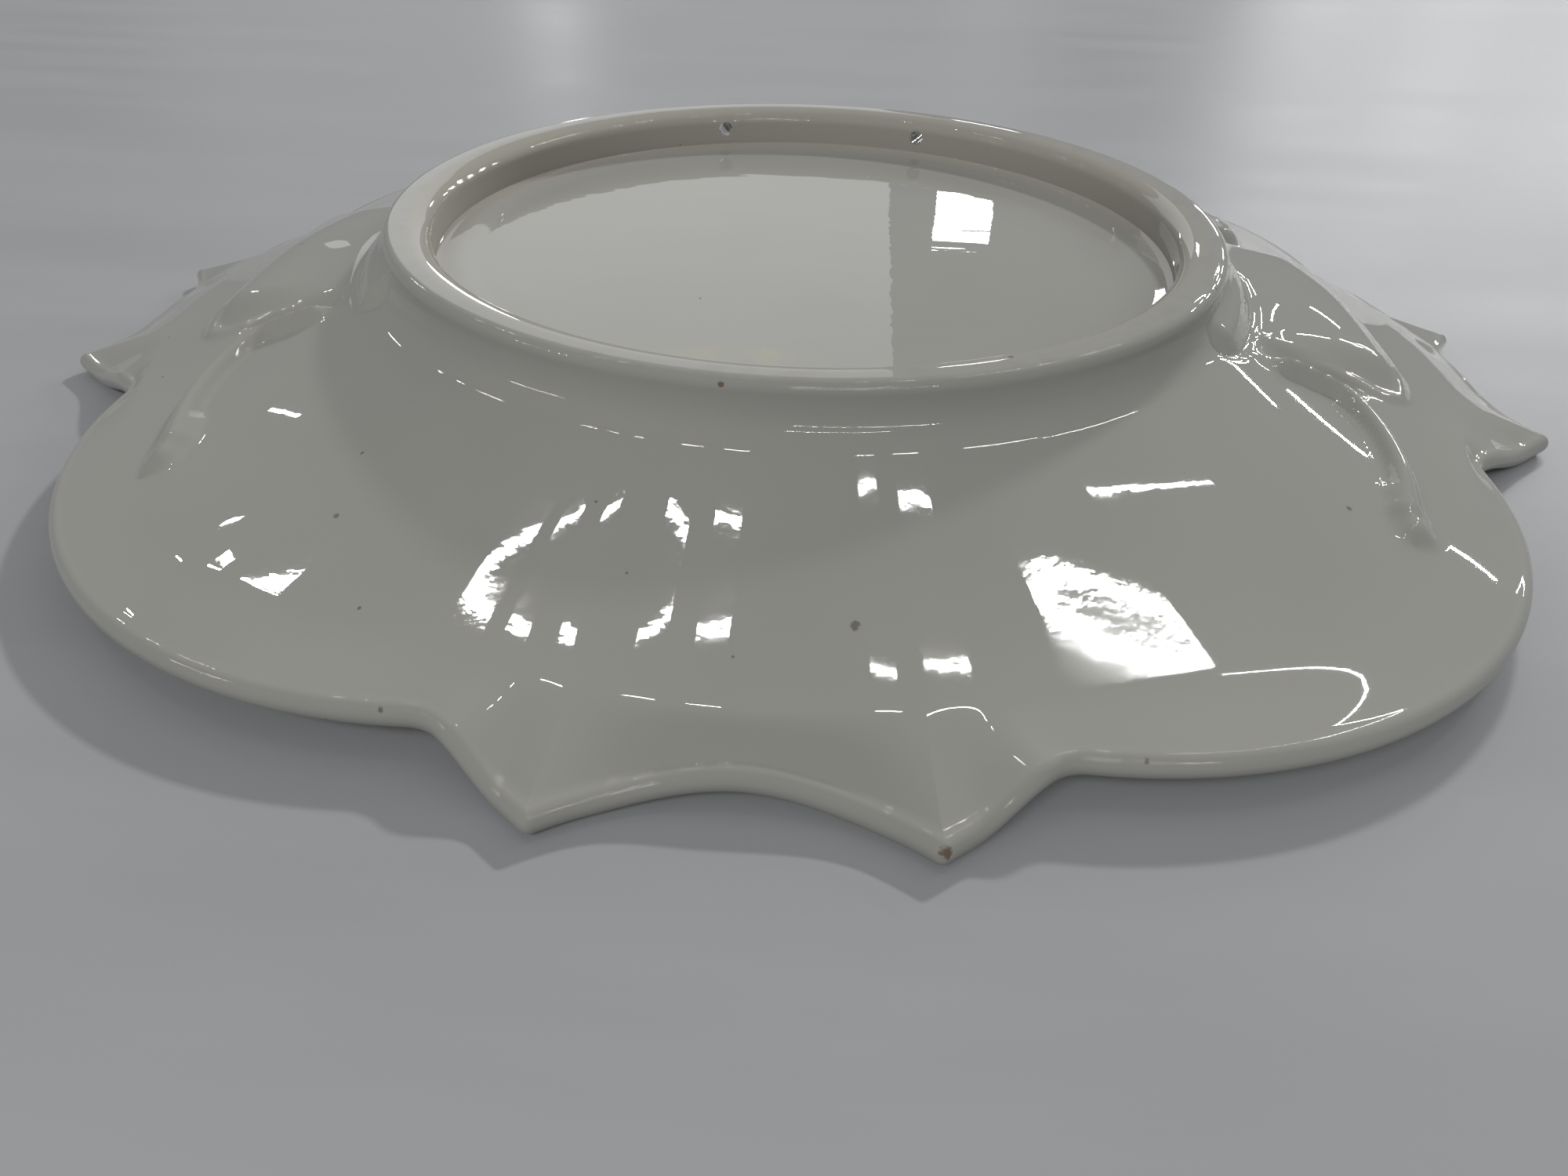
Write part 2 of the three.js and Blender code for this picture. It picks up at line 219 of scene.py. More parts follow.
def quadrant_outline(inset):
    """Points of one quadrant of the outline, each with the lift of the rim there."""
    tip_cut = max(TIP_ROUNDING - ROUNDING_CHANGE * inset, SHARPEST_TIP)
    notch_cut = NOTCH_ROUNDING + ROUNDING_CHANGE * inset
    end_x, end_radius = hollow_circle(END_HOLLOW_REACH, *END_TIP)
    side_y, side_radius = hollow_circle(SIDE_HOLLOW_REACH, SIDE_TIP[1], SIDE_TIP[0])
    end_centre = np.array([end_x, 0.0])
    side_centre = np.array([0.0, side_y])
    end_radius += inset
    side_radius += inset
    lobe_centre = np.array(LOBE_CENTRE)
    lobe_radius = LOBE_RADIUS - inset
    end_line = edge_line(END_TIP, END_NOTCH, inset)
    side_line = edge_line(SIDE_TIP, SIDE_NOTCH, inset)
    tip_a = line_meets_circle(end_line, end_centre, end_radius, END_TIP)
    notch_a = line_meets_circle(end_line, lobe_centre, lobe_radius, END_NOTCH)
    notch_b = line_meets_circle(side_line, lobe_centre, lobe_radius, SIDE_NOTCH)
    tip_b = line_meets_circle(side_line, side_centre, side_radius, SIDE_TIP)
    end_middle = end_centre - np.array([end_radius, 0])
    side_middle = side_centre - np.array([0, side_radius])

    end_arc = arc_points(end_centre, end_radius, end_middle, tip_a, 0, tip_cut, STEPS["end_arc"])
    end_edge = line_points(
        towards(tip_a, notch_a, tip_cut), towards(notch_a, tip_a, notch_cut), STEPS["end_edge"])
    lobe = arc_points(lobe_centre, lobe_radius, notch_a, notch_b, notch_cut, notch_cut, STEPS["lobe"])
    side_edge = line_points(
        towards(notch_b, tip_b, notch_cut), towards(tip_b, notch_b, tip_cut), STEPS["side_edge"])
    side_arc = arc_points(side_centre, side_radius, tip_b, side_middle, tip_cut, 0, STEPS["side_arc"])

    corner = STEPS["corner"]
    pieces = [
        (end_arc, lambda t: ARC_LIFT * rise_from_tip(1 - t)),
        (corner_points(end_arc[-1], tip_a, end_edge[0], corner), lambda t: 0 * t),
        (end_edge, lambda t: LOBE_LIFT * rise_from_tip(t)),
        (corner_points(end_edge[-1], notch_a, lobe[0], corner), lambda t: 0 * t + LOBE_LIFT),
        (lobe, lambda t: 0 * t + LOBE_LIFT),
        (corner_points(lobe[-1], notch_b, side_edge[0], corner), lambda t: 0 * t + LOBE_LIFT),
        (side_edge, lambda t: LOBE_LIFT * rise_from_tip(1 - t)),
        (corner_points(side_edge[-1], tip_b, side_arc[0], corner), lambda t: 0 * t),
        (side_arc, lambda t: ARC_LIFT * rise_from_tip(t)),
    ]
    rows = []
    for points, lift in pieces:
        t = np.linspace(0, 1, len(points))
        rows.append(np.column_stack([points, lift(t)]))
    return np.concatenate(rows)


def outline(inset):
    """Whole outline, counter-clockwise from the +X end, as x, y and lift."""
    first = quadrant_outline(inset)
    second = (first * [-1, 1, 1])[::-1]
    third = first * [-1, -1, 1]
    fourth = (first * [1, -1, 1])[::-1]
    return np.concatenate([first, second[1:], third[1:], fourth[1:-1]])


RIM_REST = outline(REST_INSET)
ANGLE = np.arctan2(RIM_REST[:, 1], RIM_REST[:, 0])
COLUMNS = len(ANGLE)
RIM_TOP = outline(EDGE_RADIUS)


def well_reach(angle):
    lobing = WELL_OVAL * np.cos(2 * angle) - WELL_LOBING * np.cos(4 * angle)
    return WELL_RADIUS + lobing + WELL_PINCH * np.cos(8 * angle)


def well_level(angle):
    return WELL_HEIGHT + WELL_LOBE_RISE * 0.5 * (1 - np.cos(4 * angle))


def wall_drop(share):
    """Share of the drop from neck to well edge: steepest at the neck, flattening outward."""
    s = np.clip(share, 0, 1)
    third = NECK_SLOPE + FLARE_SLOPE - 2
    second = 3 - 2 * NECK_SLOPE - FLARE_SLOPE
    return third * s ** 3 + second * s ** 2 + NECK_SLOPE * s


def curve_through(path, count=200):
    """Catmull-Rom curve through the points, as points close together."""
    points = np.array(path, float)
    points = np.concatenate([[2 * points[0] - points[1]], points, [2 * points[-1] - points[-2]]])
    curve = []
    spans = len(points) - 3
    for i in range(spans):
        a, b, c, d = points[i:i + 4]
        t = np.linspace(0, 1, count // spans, endpoint=i == spans - 1)[:, None]
        curve.append(0.5 * (2 * b + (c - a) * t + (2 * a - 5 * b + 4 * c - d) * t ** 2
                            + (3 * b - a - 3 * c + d) * t ** 3))
    return np.concatenate(curve)


def nearest(curve, x, y):
    """Distance from each place to the curve, and share of the curve's length at the nearest point."""
    best = np.full(x.shape, np.inf)
    share = np.zeros(x.shape)
    for i, (px, py) in enumerate(curve):
        apart = (x - px) ** 2 + (y - py) ** 2
        closer = apart < best
        best = np.where(closer, apart, best)
        share = np.where(closer, i / (len(curve) - 1), share)
    return np.sqrt(best), share


def hump(apart, width):
    """Rounded swelling that is highest on the line and gone at twice its width."""
    return smooth(1 - apart / (2 * width))


def taper(share):
    """Rises over the first part of a path and falls over its last part."""
    return smooth(share / END_TAPER) * smooth((1 - share) / END_TAPER)


RIDGE = curve_through(RIDGE_PATH)
DROP = curve_through(DROP_PATH)
LEAF = curve_through(LEAF_PATH)
CORD = curve_through(CORD_PATH)


def relief(x, y):
    """Height that the relief adds to the wall, the same in all four quadrants."""
    x = np.abs(x)
    y = np.abs(y)
    apart, share = nearest(RIDGE, x, y)
    narrow = RIDGE_WIDTH * (0.75 + 0.25 * share)
    height = RIDGE_HEIGHT * hump(apart, narrow) * smooth(share / 0.12 + 0.25)
    groove = hump(np.abs(apart - RIDGE_GROOVE_OFFSET), RIDGE_GROOVE_WIDTH)
    height -= RIDGE_GROOVE * groove * taper(share)
    apart, share = nearest(DROP, x, y)
    height = np.maximum(height, DROP_HEIGHT * hump(apart, DROP_WIDTH / 2))
    apart, share = nearest(LEAF, x, y)
    height -= LEAF_DEPTH * hump(apart, LEAF_WIDTH)
    apart, share = nearest(CORD, x, y)
    height += CORD_HEIGHT * hump(apart, CORD_WIDTH) * smooth(share / 0.15)
    near, far = PANEL_HALF_WIDTHS
    half = near + (far - near) * np.clip((x - PANEL_START) / (PANEL_END - PANEL_START), 0, 1)
    across = np.maximum(y - half + PANEL_FLANK, 0) / PANEL_FLANK
    along = np.maximum(x - PANEL_TOP, 0) / (PANEL_END - PANEL_TOP)
    rising = smooth((x - PANEL_START) / (PANEL_TOP - PANEL_START))
    return height + PANEL_RISE * rising * smooth(1 - np.hypot(across, along))


def with_tongue(row):
    """Row of points near the foot of the ring, swollen outward where a tongue lies against the ring."""
    x, y, z = np.abs(row[:, 0]), np.abs(row[:, 1]), row[:, 2]
    best = np.full(len(row), np.inf)
    for angle in np.radians(np.linspace(*TONGUE_ANGLES, 60)):
        px, py = TONGUE_RADIUS * math.cos(angle), TONGUE_RADIUS * math.sin(angle)
        best = np.minimum(best, (x - px) ** 2 + (y - py) ** 2 + (z - NECK_LEVEL - TONGUE_RISE) ** 2)
    apart = np.sqrt(best)
    push = TONGUE_HEIGHT * hump(apart, TONGUE_WIDTH)
    push -= TONGUE_GROOVE * hump(np.abs(apart - 2 * TONGUE_WIDTH), TONGUE_WIDTH / 3)
    outward = np.stack([np.cos(ANGLE), np.sin(ANGLE), np.ones(COLUMNS)], 1) / math.sqrt(2)
    return row + outward * push[:, None]


def ring_side(t):
    """Radius and level on the ring's outer side, which runs down and turns out into the wall."""
    fall = NECK_SLOPE * (NECK_LEVEL - WELL_HEIGHT) / (WELL_RADIUS - NECK_RADIUS)
    bend = np.array([
        (RING_RADIUS, DISH_HEIGHT - RING_OUTER_ROUND),
        (RING_RADIUS, DISH_HEIGHT - RING_WALL_DEPTH),
        (NECK_RADIUS - NECK_FILLET, NECK_LEVEL + NECK_FILLET * fall),
        (NECK_RADIUS, NECK_LEVEL),
    ])
    s = 1 - t
    return s ** 3 * bend[0] + 3 * t * s ** 2 * bend[1] + 3 * t * t * s * bend[2] + t ** 3 * bend[3]


def circle_row(radius, level):
    return np.stack([radius * np.cos(ANGLE), radius * np.sin(ANGLE), np.full(COLUMNS, level)], 1)


def wall_row(share, drop, shown):
    radius = NECK_RADIUS + share * (well_reach(ANGLE) - NECK_RADIUS)
    x = radius * np.cos(ANGLE)
    y = radius * np.sin(ANGLE)
    level = NECK_LEVEL + (well_level(ANGLE) - NECK_LEVEL) * wall_drop(share)
    return np.stack([x, y, level - drop + shown * relief(x, y)], 1)


def rim_row(inset, level):
    row = outline(inset)
    return row + [0, 0, level]


def flange_row(share, rim, drop, rim_drop):
    """Row between the well edge and a line of the rim, which leaves the wall at the wall's own slope."""
    well = well_reach(ANGLE)
    start = well_level(ANGLE)
    end = rim[:, 2] + RIM_HEIGHT
    x = well * np.cos(ANGLE) * (1 - share) + rim[:, 0] * share
    y = well * np.sin(ANGLE) * (1 - share) + rim[:, 1] * share
    wall_slope = FLARE_SLOPE * (NECK_LEVEL - start) / (well - NECK_RADIUS)
    width = np.hypot(rim[:, 0], rim[:, 1]) - well
    ease = (start - end - wall_slope * width) * share * (1 - share) ** 2
    level = (start - drop) * (1 - share) + (end - rim_drop) * share + ease
    return np.stack([x, y, level + relief(x, y) * (1 - smooth(share))], 1)


def surface_rows():
    """Rows of points from the recess floor over the ring and wall to the rim, and back underneath."""
    rows = []
    for i in range(1, FLOOR_ROWS + 1):
        rows.append(circle_row(RECESS_FLOOR_RADIUS * i / FLOOR_ROWS, FLOOR_LEVEL))
    foot = (RECESS_FLOOR_RADIUS + CREASE_WIDTH, FLOOR_LEVEL + CREASE_HEIGHT)
    crown_foot = (RING_RADIUS - RING_TOP_WIDTH, DISH_HEIGHT - RING_INNER_ROUND)
    for i in range(RING_ROWS):
        t = i / RING_ROWS
        radius = foot[0] + (crown_foot[0] - foot[0]) * t
        level = foot[1] + (crown_foot[1] - foot[1]) * t
        rows.append(circle_row(radius, level))
    for i in range(CROWN_ROWS + 1):
        turn = math.pi / 2 * i / CROWN_ROWS
        radius = CROWN_RADIUS - RING_FLAT_WIDTH / 2 - INNER_CROWN * math.cos(turn)
        rows.append(circle_row(radius, DISH_HEIGHT - RING_INNER_ROUND * (1 - math.sin(turn))))
    for i in range(CROWN_ROWS + 1):
        turn = math.pi / 2 * (1 - i / CROWN_ROWS)
        radius = CROWN_RADIUS + RING_FLAT_WIDTH / 2 + RING_OUTER_ROUND * math.cos(turn)
        rows.append(circle_row(radius, DISH_HEIGHT - RING_OUTER_ROUND * (1 - math.sin(turn))))
    for i in range(1, 2 * RING_ROWS):
        rows.append(with_tongue(circle_row(*ring_side(i / (2 * RING_ROWS)))))
    for i in range(WALL_ROWS + 1):
        rows.append(with_tongue(wall_row(i / WALL_ROWS, 0, 1)))
    for i in range(1, FLANGE_ROWS):
        rows.append(flange_row(i / FLANGE_ROWS, RIM_TOP, 0, 0))
    for i in range(EDGE_ROWS + 1):
        turn = math.pi / 2 - math.pi * i / EDGE_ROWS
        rows.append(rim_row(EDGE_RADIUS * (1 - math.cos(turn)), EDGE_RADIUS * (1 + math.sin(turn))))
    for i in range(1, REST_ROWS + 1):
        rows.append(rim_row(EDGE_RADIUS + REST_WIDTH * i / REST_ROWS, 0))
    for i in range(FLANGE_ROWS - 1, 0, -1):
        rows.append(flange_row(i / FLANGE_ROWS, RIM_REST, WALL_THICKNESS, RIM_HEIGHT))
    for i in range(INNER_ROWS, -1, -1):
        share = i / INNER_ROWS
        rows.append(wall_row(share, WALL_THICKNESS, smooth(share / INSIDE_FADE)))
    for i in range(FLOOR_ROWS, 0, -1):
        rows.append(circle_row(RING_RADIUS * i / FLOOR_ROWS, FLOOR_LEVEL - FLOOR_THICKNESS))
    return rows


def mesh_object(name, rows, top_centre, bottom_centre):
    """Closed mesh from rings of points, with a middle point at each end."""
    count = len(rows[0])
    points = np.concatenate([[top_centre], *rows, [bottom_centre]]) * MM
    last = len(points) - 1
    column = np.arange(count)
    following = (column + 1) % count
    quads = []
    for row in range(len(rows) - 1):
        here = 1 + row * count
        below = here + count
        quads.append(np.stack([here + column, below + column, below + following, here + following], 1))
    quads = np.concatenate(quads)
    base = 1 + (len(rows) - 1) * count
    fans = np.concatenate([
        np.stack([np.zeros(count, int), 1 + column, 1 + following], 1),
        np.stack([np.full(count, last), base + following, base + column], 1),
    ])
    mesh = bpy.data.meshes.new(name)
    mesh.vertices.add(len(points))
    mesh.vertices.foreach_set("co", points.ravel())
    corners = np.concatenate([quads.ravel(), fans.ravel()]).astype(np.int32)
    starts = np.concatenate([np.arange(len(quads)) * 4, len(quads) * 4 + np.arange(len(fans)) * 3])
    mesh.loops.add(len(corners))
    mesh.loops.foreach_set("vertex_index", corners)
    mesh.polygons.add(len(starts))
    mesh.polygons.foreach_set("loop_start", starts.astype(np.int32))
    mesh.update(calc_edges=True)
    mesh.validate()
    thing = bpy.data.objects.new(name, mesh)
    bpy.context.scene.collection.objects.link(thing)
    return thing


def hole_pin(side):
    x = side * HOLE_SPACING / 2
    y = math.sqrt(CROWN_RADIUS ** 2 - x ** 2)
    bpy.ops.mesh.primitive_cylinder_add(
        vertices=HOLE_SIDES, radius=HOLE_DIAMETER / 2 * MM, depth=4 * RING_TOP_WIDTH * MM)
    pin = bpy.context.object
    pin.rotation_mode = "QUATERNION"
    pin.rotation_quaternion = Vector((x, y, 0)).to_track_quat("Z", "Y")
    pin.location = Vector((x, y, DISH_HEIGHT - HOLE_DEPTH)) * MM
    return pin


def cut(thing, cutter):
    modifier = thing.modifiers.new("cut", "BOOLEAN")
    modifier.operation = "DIFFERENCE"
    modifier.solver = "MANIFOLD"
    modifier.object = cutter
    bpy.context.view_layer.update()
    result = bpy.data.meshes.new_from_object(thing.evaluated_get(bpy.context.evaluated_depsgraph_get()))
    thing.modifiers.remove(modifier)
    thing.data = result
    bpy.data.objects.remove(cutter)


class Painter:
    """Builds the node tree of one procedural material in object coordinates, in metres."""

    def __init__(self, name):
        self.made = bpy.data.materials.new(name)
        self.made.use_nodes = True
        self.nodes = self.made.node_tree.nodes
        self.links = self.made.node_tree.links
        self.nodes.clear()
        self.out = self.nodes.new("ShaderNodeOutputMaterial")
        self.shader = self.nodes.new("ShaderNodeBsdfPrincipled")
        self.links.new(self.shader.outputs["BSDF"], self.out.inputs["Surface"])
        self.place = self.nodes.new("ShaderNodeTexCoord").outputs["Object"]
        self.ragged = self.ramp(self.noise(1400, 2.0), 0.2, 0.8, -0.35, 0.35)

    def link(self, value, socket):
        """Gives a socket a fixed value, or links it to the output of another node."""
        if isinstance(value, bpy.types.NodeSocket):
            self.links.new(value, socket)
        else:
            socket.default_value = value

    def math(self, operation, first, second=0.0):
        node = self.nodes.new("ShaderNodeMath")
        node.operation = operation
        self.link(first, node.inputs[0])
        self.link(second, node.inputs[1])
        return node.outputs[0]

    def stretched(self, scale):
        node = self.nodes.new("ShaderNodeMapping")
        self.link(self.place, node.inputs["Vector"])
        node.inputs["Scale"].default_value = scale
        return node.outputs["Vector"]

    def noise(self, scale, detail=2.0, place=None):
        node = self.nodes.new("ShaderNodeTexNoise")
        self.link(self.place if place is None else place, node.inputs["Vector"])
        node.inputs["Scale"].default_value = scale
        node.inputs["Detail"].default_value = detail
        return node.outputs["Fac"]

    def ramp(self, value, low, high, start=0.0, end=1.0):
        """Smooth step of a value between two levels, from start to end."""
        node = self.nodes.new("ShaderNodeMapRange")
        node.interpolation_type = "SMOOTHSTEP"
        self.link(value, node.inputs["Value"])
        node.inputs["From Min"].default_value = low
        node.inputs["From Max"].default_value = high
        node.inputs["To Min"].default_value = start
        node.inputs["To Max"].default_value = end
        return node.outputs["Result"]

    def zone(self, value, limits, start=0.0, end=1.0):
        """Smooth step between two limits in millimetres."""
        low, high = limits
        return self.ramp(value, low * MM, high * MM, start, end)

    def mix(self, factor, below, above):
        node = self.nodes.new("ShaderNodeMix")
        node.data_type = "RGBA"
        self.link(factor, node.inputs["Factor"])
        self.link(below, node.inputs["A"])
        self.link(above, node.inputs["B"])
        return node.outputs["Result"]

    def specks(self, scale, size, share):
        """Small round specks, one in a share of the cells of a regular scatter."""
        node = self.nodes.new("ShaderNodeTexVoronoi")
        self.link(self.place, node.inputs["Vector"])
        node.inputs["Scale"].default_value = scale
        inside = self.ramp(node.outputs["Distance"], size * 0.5, size, 1.0, 0.0)
        parts = self.nodes.new("ShaderNodeSeparateColor")
        self.link(node.outputs["Color"], parts.inputs["Color"])
        chosen = self.math("LESS_THAN", parts.outputs["Red"], share)
        return self.math("MULTIPLY", inside, chosen)

    def spot(self, place, size, softness=0.5, stretch=(1, 1, 1)):
        """Soft spot round a place in millimetres, with a ragged edge."""
        scaled = self.nodes.new("ShaderNodeVectorMath")
        scaled.operation = "SUBTRACT"
        self.link(self.place, scaled.inputs[0])
        scaled.inputs[1].default_value = Vector(place) * MM
        shaped = self.nodes.new("ShaderNodeVectorMath")
        shaped.operation = "DIVIDE"
        self.link(scaled.outputs["Vector"], shaped.inputs[0])
        shaped.inputs[1].default_value = stretch
        length = self.nodes.new("ShaderNodeVectorMath")
        length.operation = "LENGTH"
        self.link(shaped.outputs["Vector"], length.inputs[0])
        apart = self.math("ADD", length.outputs["Value"], self.math("MULTIPLY", self.ragged, size * MM))
        return self.ramp(apart, size * MM * (1 - softness), size * MM, 1.0, 0.0)

    def bumps(self, layers):
        """Stack of bump nodes, each a height texture with its depth in metres."""
        normal = None
        for height, depth in layers:
            node = self.nodes.new("ShaderNodeBump")
            node.inputs["Strength"].default_value = 1.0
            node.inputs["Distance"].default_value = depth
            self.link(height, node.inputs["Height"])
            if normal is not None:
                self.link(normal, node.inputs["Normal"])
            normal = node.outputs["Normal"]
        self.link(normal, self.shader.inputs["Normal"])


GLAZE = (0.318, 0.314, 0.287, 1)
GLAZE_DEEP = (0.290, 0.288, 0.264, 1)
GLAZE_WARM = (0.345, 0.325, 0.275, 1)
GLAZE_STAIN = (0.400, 0.365, 0.215, 1)
SPECK = (0.130, 0.115, 0.095, 1)
IRON_SPECK = (0.120, 0.070, 0.035, 1)
CRAZE = (0.240, 0.225, 0.190, 1)

# Marks seen on this dish: place in millimetres, size, colour
MARKS = [
    ((25.4, -138.9, 3.2), 1.1, IRON_SPECK),
    ((50.3, -125.9, 7.6), 0.5, SPECK),
    ((-46.6, -126.0, 7.6), 0.45, SPECK),
    ((13.3, -111.1, 14.5), 0.9, SPECK),
    ((-7.7, -82.2, 34.1), 0.6, IRON_SPECK),
    ((34.8, -69.7, 35.1), 0.6, SPECK),
    ((-54.5, -110.6, 11.4), 0.35, SPECK),
    ((-18.1, -105.5, 16.6), 0.3, SPECK),
    ((-63.3, -82.8, 19.4), 0.35, SPECK),
    ((-2.3, -116.9, 12.5), 0.3, SPECK),
    ((-24.3, -94.7, 20.8), 0.3, SPECK),
]
STAIN_PLACE = (-7.0, -56.0, 26.4)
STAIN_SIZE = 17
STAIN_STRETCH = (1, 0.3, 1)

# Zones of the glaze in millimetres, each from where it begins to where it is full or gone
INNER_SIDE_START = (70.0, 73.5)
INNER_SIDE_END = (76.5, 79.5)
RECESS_END = (70.0, 73.0)
CROWN_START = (34.8, 35.1)
UPPER_SIDE_START = (FLOOR_LEVEL - 2, FLOOR_LEVEL)

# Depths of the bumps, in metres
WAVINESS = 0.00005
GRAIN_DEPTH = 0.000002
RIPPLE_DEPTH = 0.00005
PINHOLE_DEPTH = 0.00003
TABLE_GRAIN_DEPTH = 0.000008

GLAZE_IOR = 1.5
TABLE_IOR = 1.2
TABLE_DARK = (0.305, 0.310, 0.316, 1)
TABLE_LIGHT = (0.325, 0.330, 0.336, 1)
TABLE_ROUGHNESS = (0.36, 0.42)
TABLE_SIZE = 6
SHARP_EDGE = math.radians(40)


def glaze_material():
    """Clear glaze over cream clay: cloudy colour, pinholes, small marks, a faintly wavy gloss."""
    p = Painter("glaze")
    axes = p.nodes.new("ShaderNodeSeparateXYZ")
    p.link(p.place, axes.inputs["Vector"])
    x, y, z = (axes.outputs[name] for name in "XYZ")
    flat = p.math("SQRT", p.math("ADD", p.math("MULTIPLY", x, x), p.math("MULTIPLY", y, y)))

    colour = p.mix(p.ramp(p.noise(14, 3), 0.3, 0.7, 0.0, 0.8), GLAZE, GLAZE_DEEP)
    inner = p.math("MULTIPLY", p.zone(flat, INNER_SIDE_START), p.zone(flat, INNER_SIDE_END, 1, 0))
    above = p.zone(z, UPPER_SIDE_START)
    colour = p.mix(p.math("MULTIPLY", p.math("MULTIPLY", inner, above), 0.7), colour, GLAZE_WARM)
    stain = p.spot(STAIN_PLACE, STAIN_SIZE, 0.8, STAIN_STRETCH)
    blotch = p.ramp(p.noise(160, 3), 0.35, 0.65)
    colour = p.mix(p.math("MULTIPLY", p.math("MULTIPLY", stain, blotch), 0.45), colour, GLAZE_STAIN)
    crown = p.math("MULTIPLY", p.zone(z, CROWN_START), p.ramp(p.noise(220, 4), 0.45, 0.75))
    colour = p.mix(p.math("MULTIPLY", crown, 0.25), colour, CRAZE)
    pinholes = p.specks(110, 0.045, 0.25)
    colour = p.mix(p.math("MULTIPLY", pinholes, 0.8), colour, SPECK)
    colour = p.mix(p.math("MULTIPLY", p.specks(45, 0.028, 0.3), 0.8), colour, SPECK)
    for place, size, tint in MARKS:
        colour = p.mix(p.math("MULTIPLY", p.spot(place, size), 0.85), colour, tint)
    p.link(colour, p.shader.inputs["Base Color"])

    streaks = p.noise(1.0, 3, p.stretched((25, 90, 60)))
    wiped = p.ramp(streaks, 0.5, 0.8, 0.0, 0.02)
    smudge = p.ramp(p.noise(22, 2), 0.5, 0.75, 0.01, 0.03)
    p.link(p.math("ADD", wiped, smudge), p.shader.inputs["Roughness"])
    p.shader.inputs["IOR"].default_value = GLAZE_IOR
    in_recess = p.math("MULTIPLY", p.zone(flat, RECESS_END, 1, 0), above)
    ripple = p.math("MULTIPLY", p.noise(1.0, 2, p.stretched((30, 140, 1))), in_recess)
    p.bumps([
        (p.noise(18, 2), WAVINESS),
        (p.noise(420, 2), GRAIN_DEPTH),
        (ripple, RIPPLE_DEPTH),
        (pinholes, -PINHOLE_DEPTH),
    ])
    return p.made


def table_material():
    """Pale polished table top with faint wiping marks."""
    p = Painter("table")
    wiping = p.noise(1.0, 4, p.stretched((6, 30, 1)))
    colour = p.mix(p.ramp(wiping, 0.35, 0.65), TABLE_DARK, TABLE_LIGHT)
    p.link(colour, p.shader.inputs["Base Color"])
    p.link(p.ramp(wiping, 0.3, 0.7, *TABLE_ROUGHNESS), p.shader.inputs["Roughness"])
    p.shader.inputs["IOR"].default_value = TABLE_IOR
    p.bumps([(p.noise(300, 2), TABLE_GRAIN_DEPTH)])
    return p.made


dish = mesh_object("dish_glazed", surface_rows(), (0, 0, FLOOR_LEVEL), (0, 0, FLOOR_LEVEL - FLOOR_THICKNESS))
for hole_side in (-1, 1):
    cut(dish, hole_pin(hole_side))
dish.data.polygons.foreach_set("use_smooth", [True] * len(dish.data.polygons))
dish.data.set_sharp_from_angle(angle=SHARP_EDGE)
dish.data.materials.clear()
dish.data.materials.append(glaze_material())
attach(dish, "root")
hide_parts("dish")

# Table
bpy.ops.mesh.primitive_plane_add(size=TABLE_SIZE)
table = bpy.context.object
table.name = "table"
table.data.materials.append(table_material())

# Camera, from the fit to the foot ring and the rim outline
CAMERA_PLACE = (0.00967, -0.22415, 0.10463)
YAW = math.radians(-2.986)
PITCH = math.radians(36.819)
ROLL = math.radians(-1.835)
SENSOR_WIDTH = 36.0
FOCAL_PIXELS = 1387.0
PHOTO_WIDTH = 2000

forward = Vector((math.sin(YAW) * math.cos(PITCH), math.cos(YAW) * math.cos(PITCH), -math.sin(PITCH)))
right = Vector((math.cos(YAW), -math.sin(YAW), 0))
down = forward.cross(right)
image_right = math.cos(ROLL) * right + math.sin(ROLL) * down
image_down = -math.sin(ROLL) * right + math.cos(ROLL) * down
camera_data = bpy.data.cameras.new("camera")
camera_data.sensor_width = SENSOR_WIDTH
camera_data.lens = SENSOR_WIDTH * FOCAL_PIXELS / PHOTO_WIDTH
camera_data.clip_start = 0.01
camera = bpy.data.objects.new("camera", camera_data)
camera.matrix_world = Matrix.Translation(CAMERA_PLACE) @ Matrix(
    (image_right, -image_down, -forward)).transposed().to_4x4()
bpy.context.scene.collection.objects.link(camera)
bpy.context.scene.camera = camera

# Light; a direction is azimuth from +Y towards +X, and elevation, in degrees
WORLD_COLOUR = (0.22, 0.224, 0.232, 1)
LAMP_DISTANCE = 6.0
TUBE_WIDTH = 0.016
TUBE_RADIANCE = 120.0

# Ceiling tubes, each by the directions of its two ends
TUBES = [
    ((-50, 23.5), (-51.2, 28)),
    ((-58.5, 36), (-58.6, 37)),
    ((-60.5, 39.7), (-61.2, 41.3)),
    ((-62.3, 43.5), (-63.5, 48)),
    ((-68, 60), (-68.2, 62.5)),
    ((-68.4, 63.8), (-68.2, 65.4)),
    ((-68.3, 67.5), (-67.7, 68.8)),
    ((-65.5, 73.8), (-64, 76.5)),
    ((-58.5, 79), (-49, 81.7)),
    ((46.5, 80.2), (51.5, 78.3)),
    ((56.5, 76.2), (59.4, 72.9)),
    ((62.6, 67), (59.6, 56.8)),
    ((55.5, 55.9), (50.2, 41.4)),
    ((-178.6, 44.2), (151.2, 42.6)),
    ((-102.2, 26.8), (-116.9, 32.7)),
    ((140, 30), (179, 31)),
]

# Far rows of small lamps: the elevation of a row, and the azimuths of its lamps
FAR_ROWS = [(15.0, (20, 26, 32, 38)), (19.0, (22, 29, 36, 43)), (23.0, (25, 33, 41, 49))]
FAR_SIZE = (0.34, 0.035)
FAR_RADIANCE = 150.0

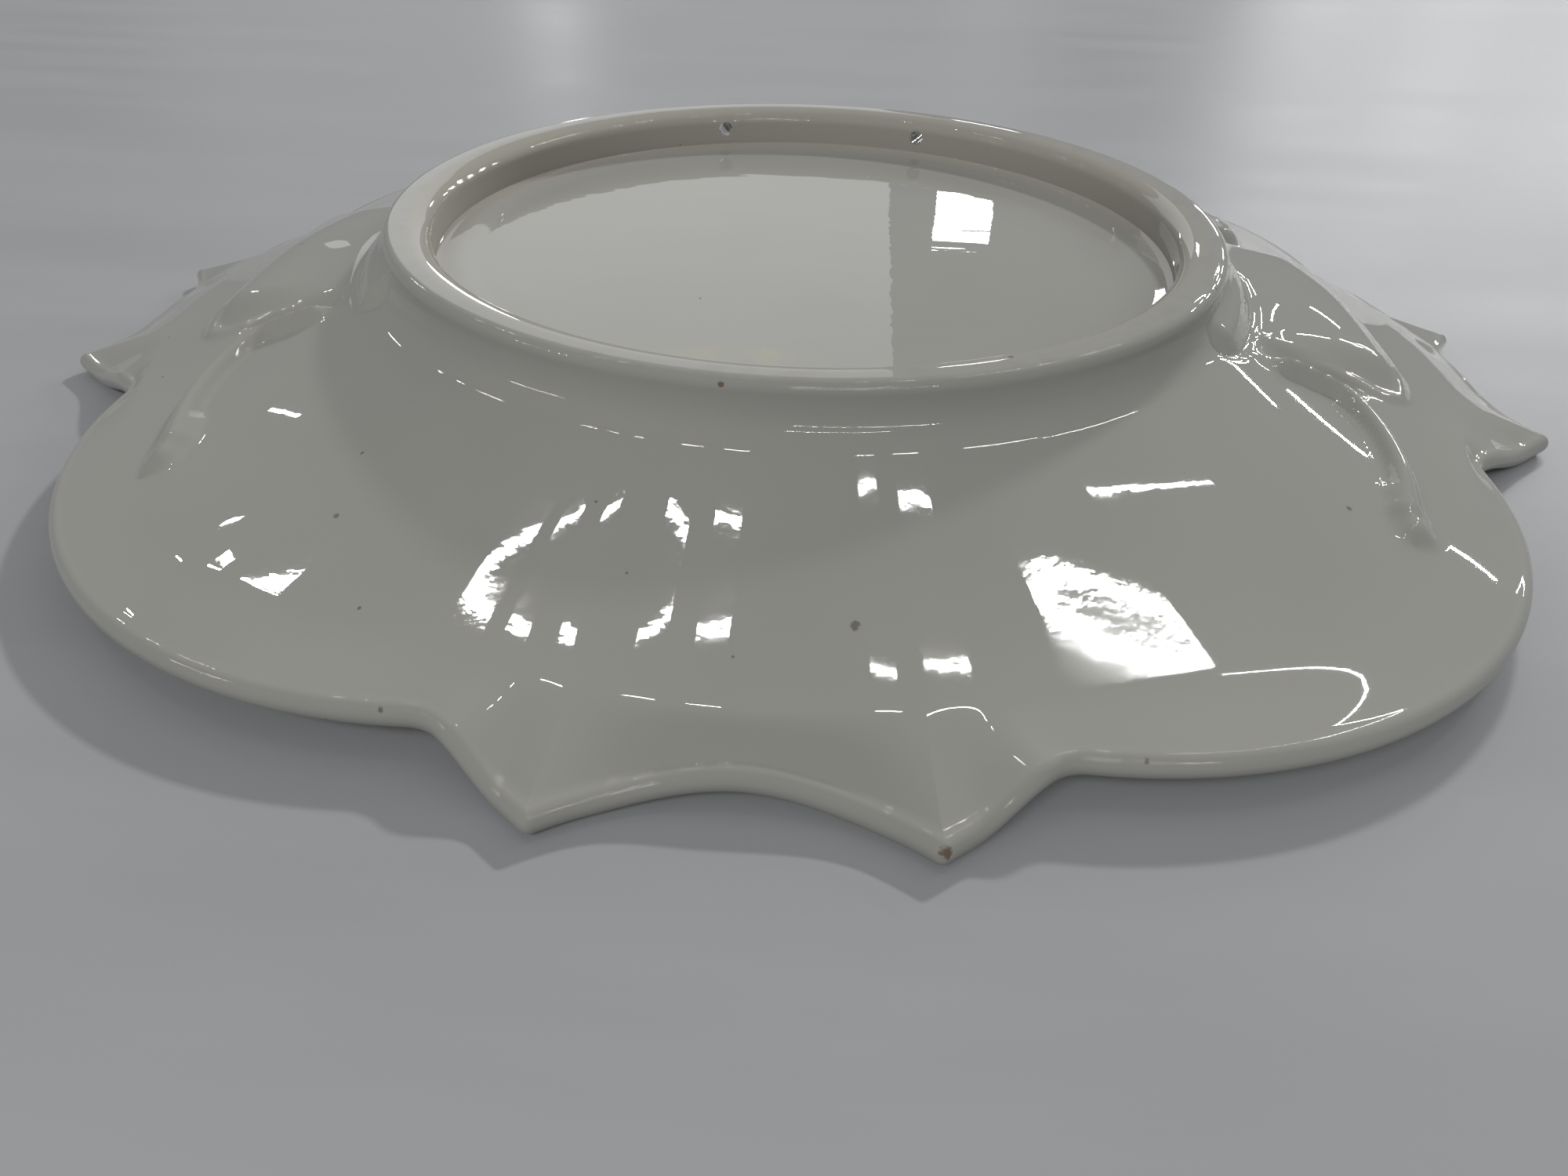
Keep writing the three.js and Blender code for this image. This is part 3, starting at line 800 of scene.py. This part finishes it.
# Windows, and soft lamps that aren't mirrored: direction, size and radiance
WINDOWS = [
    ((6.0, 17.5), (0.30, 0.28), 9.0),
    ((-15.0, 9.0), (0.12, 0.5), 14.0),
    ((-15.5, 21.0), (3.6, 2.2), 0.62),
]
SOFT_LAMPS = [
    ((25.0, 34.0), (0.6, 0.25), 380.0),
    ((-160.0, 45.0), (3.0, 1.5), 9.0),
]

world = bpy.data.worlds.new("studio")
world.use_nodes = True
world.node_tree.nodes["Background"].inputs["Color"].default_value = WORLD_COLOUR
world.node_tree.nodes["Background"].inputs["Strength"].default_value = 1.0
bpy.context.scene.world = world


def direction(azimuth, elevation):
    a, e = math.radians(azimuth), math.radians(elevation)
    return Vector((math.sin(a) * math.cos(e), math.cos(a) * math.cos(e), math.sin(e)))


def area_lamp(name, place, along, size, radiance):
    """Rectangular lamp that faces the origin, its length lying along a direction."""
    data = bpy.data.lights.new(name, "AREA")
    data.shape = "RECTANGLE"
    data.size, data.size_y = size
    data.energy = radiance * math.pi * size[0] * size[1]
    back = place.normalized()
    side = (along - along.dot(back) * back).normalized()
    lamp = bpy.data.objects.new(name, data)
    turned = Matrix((side, back.cross(side), back)).transposed().to_4x4()
    lamp.matrix_world = Matrix.Translation(place) @ turned
    bpy.context.scene.collection.objects.link(lamp)
    return lamp


for number, (start, end) in enumerate(TUBES):
    first = direction(*start) * LAMP_DISTANCE
    last = direction(*end) * LAMP_DISTANCE
    length = (last - first).length
    area_lamp("tube_%d" % number, (first + last) / 2, last - first, (length, TUBE_WIDTH), TUBE_RADIANCE)
for elevation, azimuths in FAR_ROWS:
    for azimuth in azimuths:
        name = "far_%d_%d" % (elevation, azimuth)
        place = direction(azimuth, elevation) * LAMP_DISTANCE
        area_lamp(name, place, direction(azimuth + 90, 0), FAR_SIZE, FAR_RADIANCE)
for number, (place, size, radiance) in enumerate(WINDOWS + SOFT_LAMPS):
    level = direction(place[0] + 90, 0)
    lamp = area_lamp("window_%d" % number, direction(*place) * LAMP_DISTANCE, level, size, radiance)
    lamp.visible_glossy = number < len(WINDOWS)

bpy.context.scene.view_settings.view_transform = "Standard"
